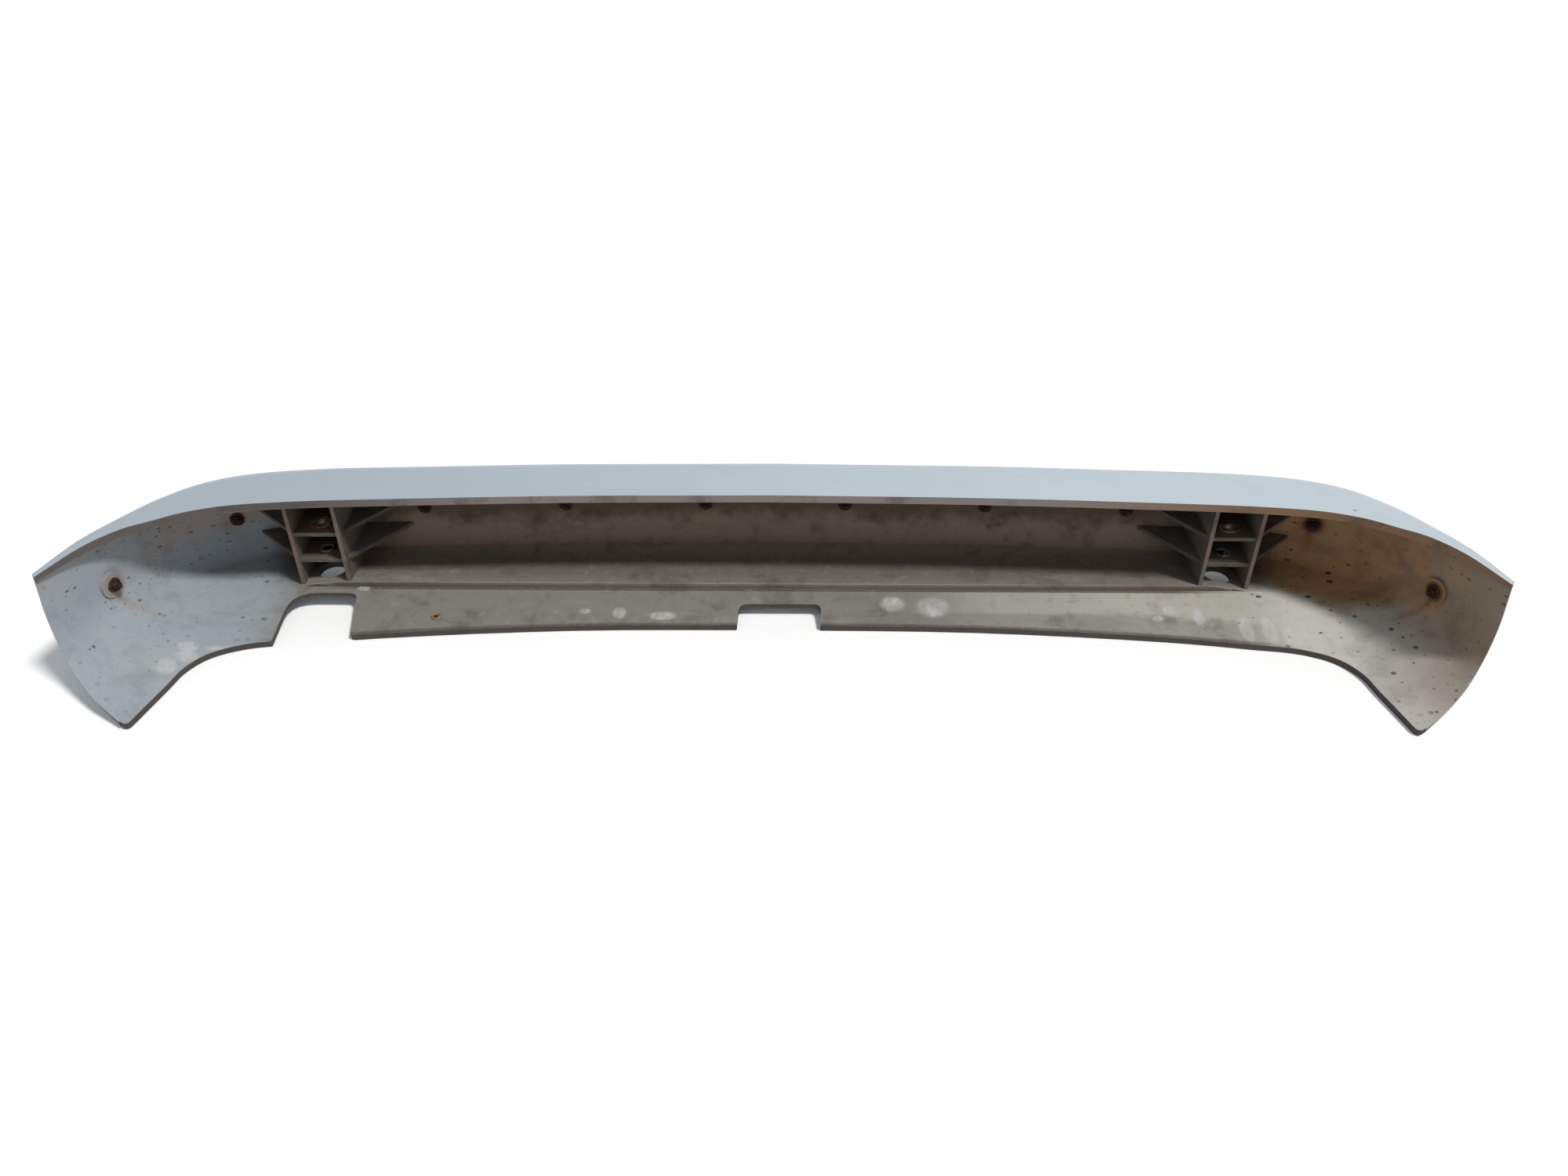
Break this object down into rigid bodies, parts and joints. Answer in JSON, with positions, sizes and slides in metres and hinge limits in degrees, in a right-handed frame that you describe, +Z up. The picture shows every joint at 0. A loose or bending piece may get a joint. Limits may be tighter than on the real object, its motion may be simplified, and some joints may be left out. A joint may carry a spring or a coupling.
{
  "type": "bumper cover",
  "caption": "Rear car bumper cover: moulded wrap-around shell with a slanted lower lip, exhaust cut-out, two ribbed mount blocks and a bolted outer rub strip",
  "frame": {"origin": "centre of the bounding box at the height of the lower edge, where the cover stands", "axes": "+Z up, +Y out of the painted face, away from the car, +X to the right seen from the car"},
  "size_m": [1.6596, 0.3841, 0.157],
  "materials": {
    "moulded_shell": "pale blue-grey paint outside, dirty grey moulded inside with brown shade and dark specks",
    "block_moulding": "bare moulded plastic with brown road dirt",
    "bush_steel": "dull plated steel with rust at the rim",
    "strip_rubber": "weathered black rubber",
    "rusted_steel": "dark rust",
    "eyelet_brass": "tarnished yellow metal"
  },
  "bodies": {
    "root": {"bumper_cover": "moulded_shell", "mount_block_left": "block_moulding", "mount_block_right": "block_moulding", "upper_bush_left": "bush_steel", "upper_bush_right": "bush_steel", "lower_bush_left": "bush_steel", "lower_bush_right": "bush_steel", "rub_strip_left": "strip_rubber", "rub_strip_center": "strip_rubber", "rub_strip_right": "strip_rubber", "strip_stud_01": "rusted_steel", "strip_washer_01": "rusted_steel", "strip_nut_01": "rusted_steel", "strip_stud_02": "rusted_steel", "strip_washer_02": "rusted_steel", "strip_nut_02": "rusted_steel", "strip_stud_03": "rusted_steel", "strip_washer_03": "rusted_steel", "strip_nut_03": "rusted_steel", "strip_stud_04": "rusted_steel", "strip_washer_04": "rusted_steel", "strip_nut_04": "rusted_steel", "strip_stud_05": "rusted_steel", "strip_washer_05": "rusted_steel", "strip_nut_05": "rusted_steel", "strip_stud_06": "rusted_steel", "strip_washer_06": "rusted_steel", "strip_nut_06": "rusted_steel", "strip_stud_07": "rusted_steel", "strip_washer_07": "rusted_steel", "strip_nut_07": "rusted_steel", "strip_stud_08": "rusted_steel", "strip_washer_08": "rusted_steel", "strip_nut_08": "rusted_steel", "strip_stud_09": "rusted_steel", "strip_washer_09": "rusted_steel", "strip_nut_09": "rusted_steel", "strip_stud_10": "rusted_steel", "strip_washer_10": "rusted_steel", "strip_nut_10": "rusted_steel", "lip_eyelet": "eyelet_brass"}
  },
  "joints": []
}
